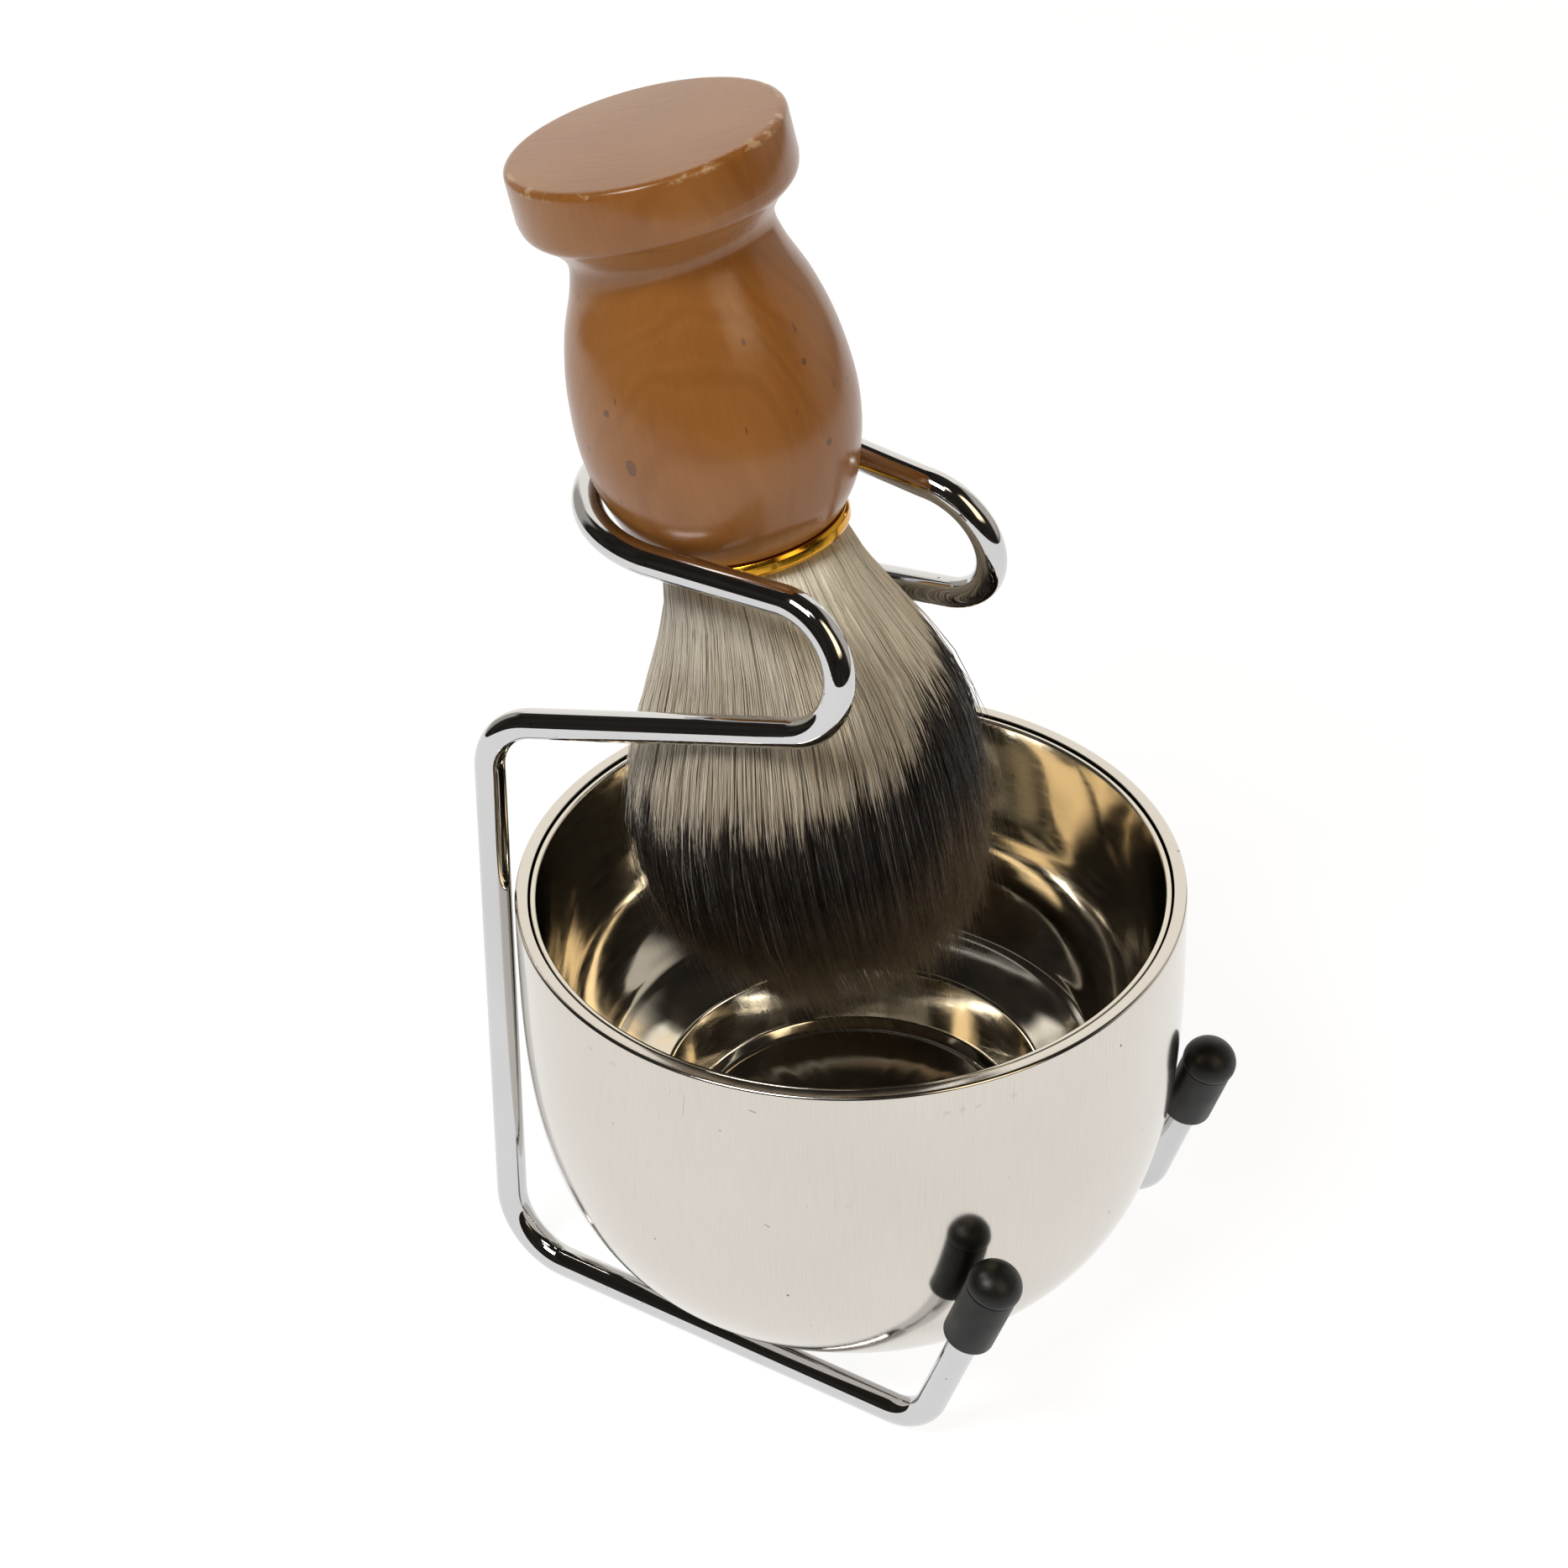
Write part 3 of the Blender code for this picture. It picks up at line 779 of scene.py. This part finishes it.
def strand_points(random):
    """Each strand's centre line, as an array of (strand, step, xyz), with its shade and its tone."""
    out = np.sqrt(random.uniform(0.0, 1.0, STRANDS)) ** 0.55  # more of them near the outside
    out = np.clip(out, 0.02, 0.995)
    turn = random.uniform(0, 2 * np.pi, STRANDS)
    powered = (1 - out**2) / (1 - out**2 * CURL_IN**DOME_POWER)
    last = WIDEST_SHARE + (1 - WIDEST_SHARE) * powered ** (1 / DOME_POWER)
    short = np.abs(random.normal(0, 0.045, STRANDS))
    short = short * np.where(random.uniform(0, 1, STRANDS) < 0.5, 1, 0.3)
    last = last + 0.012 - short
    stray = random.uniform(0, 1, STRANDS) < 0.08
    last = np.where(stray, last + random.uniform(0.0, 0.07, STRANDS), last)
    steps = np.linspace(0, 1, STRAND_STEPS + 1)
    share = last[:, None] * steps[None, :]
    past = np.clip((share - WIDEST_SHARE) / (1 - WIDEST_SHARE), 0, 1)
    radius = out[:, None] * hair_flare(share) * np.sqrt(np.clip(1 - (CURL_IN * past) ** DOME_POWER, 0.02, 1))
    splay = np.where(stray, random.uniform(-0.02, 0.11, STRANDS), 0)
    radius = radius * (1 + splay[:, None] * steps[None, :] ** 1.5)
    x = radius * np.cos(turn)[:, None]
    y = radius * np.sin(turn)[:, None]

    # Neighbouring hairs cling together towards their ends, in small tufts about one of them.
    leaders = random.integers(0, STRANDS, TUFTS)
    reach = random.normal(0, 0.022, TUFTS)
    spread = np.stack([x[:, -1], y[:, -1]], 1)
    nearest = np.argmin(((spread[:, None, :] - spread[None, leaders, :]) ** 2).sum(2), 1)
    pull = (np.clip(steps - 0.35, 0, 1) / 0.65) ** 1.6 * random.uniform(0.1, 0.55, STRANDS)[:, None]
    lead_x, lead_y = x[leaders][nearest], y[leaders][nearest]
    x = x + (lead_x - x) * pull
    y = y + (lead_y - y) * pull

    # Each tuft ends a little above or below its neighbours, and its colours shift with it.
    share = share + reach[nearest][:, None] * steps[None, :] ** 2
    shift = random.normal(0, 0.024, TUFTS)[nearest] + random.normal(0, 0.030, STRANDS)
    shift = shift + 0.18 * np.clip(np.cos(turn - BAND_TURN), 0, 1) ** 2.3

    wave = random.uniform(0, 2 * np.pi, (2, STRANDS))[:, :, None]
    size = random.uniform(0.05, 0.35, (2, STRANDS))[:, :, None] * MM
    grow = np.clip(steps * 3, 0, 1)
    x = x + size[0] * np.sin(steps * 5.5 + wave[0]) * grow
    y = y + size[1] * np.sin(steps * 4.7 + wave[1]) * grow
    drift = np.where(stray, 1.3, 0.35)[:, None] * random.normal(0, 0.7 * MM, (2, STRANDS))[:, :, None]
    x = x + drift[0] * steps**3
    y = y + drift[1] * steps**3 + hair_sag(share)
    z = -(HAIR_ROOT + share * HAIR_LENGTH)
    shade = share + shift[:, None] + 0.20 * steps[None, :] ** 7
    tone = np.repeat(random.uniform(0, 1, STRANDS)[:, None], STRAND_STEPS + 1, 1)
    return np.stack([x, y, z], 2), np.clip(shade, 0, 1), tone


def add_strands(name, lines, shade, tone, thick, look):
    """One mesh of fine tapering prisms, one for each centre line."""
    count, rows = lines.shape[:2]
    along = np.gradient(lines, axis=1)
    along /= np.linalg.norm(along, axis=2, keepdims=True)
    across = np.cross(along, np.array([0.31, 0.87, 0.39]))
    across /= np.linalg.norm(across, axis=2, keepdims=True)
    third = np.cross(along, across)
    taper = np.clip((1 - np.linspace(0, 1, rows)) / 0.45, 0.16, 1.0)[None, :, None]
    radius = thick[:, None, None] * taper
    rings = []
    for side in range(STRAND_SIDES):
        angle = 2 * np.pi * side / STRAND_SIDES
        rings.append(lines + radius * (np.cos(angle) * across + np.sin(angle) * third))
    points = np.stack(rings, 2).reshape(-1, 3)
    base = (np.arange(count) * rows * STRAND_SIDES)[:, None, None]
    step = (np.arange(rows - 1) * STRAND_SIDES)[None, :, None]
    side = np.arange(STRAND_SIDES)[None, None, :]
    after = (side + 1) % STRAND_SIDES
    low = base + step
    high = low + STRAND_SIDES
    quads = np.stack([low + side, low + after, high + after, high + side], 3).reshape(-1, 4)
    tip = base[:, 0, :] + (rows - 1) * STRAND_SIDES + np.arange(STRAND_SIDES)[None, :]
    root = base[:, 0, :] + np.arange(STRAND_SIDES)[None, ::-1]
    caps = np.concatenate([tip, root])
    mesh = bpy.data.meshes.new(name)
    mesh.vertices.add(len(points))
    mesh.vertices.foreach_set("co", points.astype(np.float32).ravel())
    loops = np.concatenate([quads.ravel(), caps.ravel()])
    mesh.loops.add(len(loops))
    mesh.loops.foreach_set("vertex_index", loops.astype(np.int32))
    starts = np.concatenate([np.arange(len(quads)) * 4, len(quads) * 4 + np.arange(len(caps)) * 3])
    mesh.polygons.add(len(starts))
    mesh.polygons.foreach_set("loop_start", starts.astype(np.int32))
    mesh.update(calc_edges=True)
    mesh.validate()
    mesh.shade_smooth()
    for key, values in (("share", shade), ("tone", tone)):
        layer = mesh.attributes.new(key, "FLOAT", "POINT")
        layer.data.foreach_set("value", np.repeat(values.reshape(-1), STRAND_SIDES).astype(np.float32))
    mesh.materials.append(look)
    made = bpy.data.objects.new(name, mesh)
    bpy.context.scene.collection.objects.link(made)
    made.matrix_world = BRUSH_FRAME
    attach(made, "brush")


def make_hair(look):
    """The bundle's dense middle, and its loose hairs in a few meshes."""
    outline = [(0.0, HAIR_ROOT)]
    for step in range(CORE_STEPS):
        share = 1 - (1 - step / CORE_STEPS) ** 1.35
        past = max(0.0, (share - WIDEST_SHARE) / (1 - WIDEST_SHARE))
        radius = CORE_SHARE * hair_flare(share) * math.sqrt(1 - past**DOME_POWER)
        outline.append((radius, HAIR_ROOT + share * CORE_REACH * HAIR_LENGTH))
    outline.append((0.0, HAIR_ROOT + CORE_REACH * HAIR_LENGTH))
    outline = downwards(outline)
    outline.reverse()

    def middle(z):
        return float(hair_sag((-z - HAIR_ROOT) / HAIR_LENGTH))

    core = turned("hair_middle", outline, 96, look, BRUSH_FRAME, middle)
    depth = np.array([(-vertex.co.z - HAIR_ROOT) / HAIR_LENGTH for vertex in core.data.vertices])
    for key, values in (("share", depth), ("tone", np.full(len(depth), CORE_TONE))):
        layer = core.data.attributes.new(key, "FLOAT", "POINT")
        layer.data.foreach_set("value", values.astype(np.float32))
    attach(core, "brush")
    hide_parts("bristle_knot")

    random = np.random.default_rng(7)
    lines, shade, tone = strand_points(random)
    thick = STRAND_WIDTH * random.uniform(0.75, 1.25, STRANDS)
    share_of = np.array_split(np.arange(STRANDS), HAIR_PIECES)
    for index, members in enumerate(share_of, 1):
        add_strands(f"hair_{index}", lines[members], shade[members], tone[members], thick[members], look)


# ---- stage ----

FLOOR_RADIUS = 0.5
FLOOR_SIDES = 96
FLOOR_GLOW = 0.88
BACKDROP = (0.93, 0.93, 0.93)
KEY_PLACE = (-0.76, 0.11, 1.20)
KEY_AIM = (0, 0, 0.10)
KEY_SIZE = (0.52, 0.42)
KEY_POWER = 10.5
KEY_COLOUR = (1.0, 0.97, 0.92)
CAMERA_PLACE = (-0.42939, -0.29306, 0.45457)
CAMERA_TURN = (53.862, 1.117, -55.66)  # degrees about X, Y and Z
CAMERA_LENS = 116.36  # millimetres, on a 36 mm sensor


def make_floor():
    """A plain pale round table top that glows a little, like a light table."""
    points = [(0.0, 0.0, 0.0)]
    for step in range(FLOOR_SIDES):
        angle = 2 * math.pi * step / FLOOR_SIDES
        points.append((FLOOR_RADIUS * math.cos(angle), FLOOR_RADIUS * math.sin(angle), 0.0))
    faces = [(0, 1 + step, 1 + (step + 1) % FLOOR_SIDES) for step in range(FLOOR_SIDES)]
    look, tree, shader = new_material("pale_floor", Roughness=0.9)
    tint = mix(tree, noise(tree, place(tree), 8.0), (0.19, 0.19, 0.19), (0.21, 0.21, 0.21))
    feed(tree, shader, Base_Color=tint)
    shader.inputs["Emission Color"].default_value = (1.0, 1.0, 1.0, 1.0)
    shader.inputs["Emission Strength"].default_value = FLOOR_GLOW
    floor = add_mesh("floor", points, faces, look)


def sky_patch(tree, turn, height, middle, half, soft):
    """A soft-edged rectangle of the sky, as a mask. Angles are in degrees: turns from +X, and heights."""
    swing = maths(tree, "WRAP", maths(tree, "SUBTRACT", turn, math.radians(middle[0])), math.pi, -math.pi)
    sides = maths(tree, "ABSOLUTE", swing)
    rise = maths(tree, "ABSOLUTE", maths(tree, "SUBTRACT", height, math.radians(middle[1])))
    masks = []
    for value, reach in ((sides, half[0]), (rise, half[1])):
        values = {
            "Value": value,
            "From Min": math.radians(max(0.0, reach - soft / 2)),
            "From Max": math.radians(reach + soft / 2),
            "To Min": 1.0,
            "To Max": 0.0,
        }
        mask = node(tree, "ShaderNodeMapRange", values, interpolation_type="SMOOTHSTEP")
        masks.append(mask.outputs["Result"])
    return maths(tree, "MULTIPLY", *masks)


SKY_BASE = (0.014, 0.012, 0.010)
SKY_PATCHES = [  # middle (turn, height), half size, softness, colour
    ((35, 0), (40, 45), 5, (1.15, 1.11, 1.03)),  # a white sheet that hangs behind the table
    ((80, 5), (15, 25), 10, (0.45, 0.43, 0.38)),  # its dimmer end
    ((330, 15), (25, 25), 15, (0.60, 0.56, 0.50)),  # a dimmer one on the right
    ((260, 40), (15, 20), 10, (2.5, 2.0, 1.3)),  # a soft warm light on the right
    ((205, 65), (10, 5), 5, (2.0, 1.9, 1.7)),  # a soft light overhead
]


def make_world():
    """A dim studio with a white sheet and two soft lights, which the camera sees as a plain pale backdrop."""
    world = bpy.data.worlds.new("room")
    bpy.context.scene.world = world
    world.use_nodes = True
    tree = world.node_tree
    back = tree.nodes["Background"]
    way = node(tree, "ShaderNodeTexCoord").outputs["Generated"]
    parts = node(tree, "ShaderNodeSeparateXYZ", {"Vector": way}).outputs
    turn = maths(tree, "ARCTAN2", parts["Y"], parts["X"])
    height = maths(tree, "ARCSINE", parts["Z"])
    uneven = noise(tree, way, 3.0, 3.0)
    shade = ramp(tree, uneven, [(0.35, SKY_BASE), (0.65, tuple(2.2 * part for part in SKY_BASE))])
    for middle, half, soft, colour in SKY_PATCHES:
        shade = mix(tree, sky_patch(tree, turn, height, middle, half, soft), shade, colour)
    seen = node(tree, "ShaderNodeLightPath").outputs["Is Camera Ray"]
    shade = mix(tree, seen, shade, BACKDROP)
    tree.links.new(shade, back.inputs["Color"])
    back.inputs["Strength"].default_value = 1.0


def add_area_light(name, where, towards, size, power, colour):
    lamp = bpy.data.lights.new(name, "AREA")
    lamp.shape = "RECTANGLE"
    lamp.size, lamp.size_y = size
    lamp.energy = power
    lamp.color = colour
    made = bpy.data.objects.new(name, lamp)
    bpy.context.scene.collection.objects.link(made)
    made.location = where
    made.rotation_euler = (Vector(towards) - Vector(where)).to_track_quat("-Z", "Y").to_euler()
    return made


def make_camera():
    lens = bpy.data.cameras.new("camera")
    lens.sensor_width = 36
    lens.lens = CAMERA_LENS
    lens.clip_start = 0.01
    made = bpy.data.objects.new("camera", lens)
    bpy.context.scene.collection.objects.link(made)
    made.location = CAMERA_PLACE
    made.rotation_euler = [math.radians(angle) for angle in CAMERA_TURN]
    bpy.context.scene.camera = made


def build():
    make_camera()
    make_floor()
    make_world()
    add_area_light("key", KEY_PLACE, KEY_AIM, KEY_SIZE, KEY_POWER, KEY_COLOUR)
    make_stand(chrome())
    black = rubber()
    make_tip("left_tip", "tip_left", -1, black)
    make_tip("right_tip", "tip_right", 1, black)
    make_bowl(satin_steel(), mirror_steel())
    make_handle(wood())
    make_collar(gilt())
    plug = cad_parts["knot_plug"]
    plug.data.materials.clear()
    plug.data.materials.append(resin())
    make_hair(hair_look())
    bpy.context.scene.view_settings.view_transform = "Standard"


build()
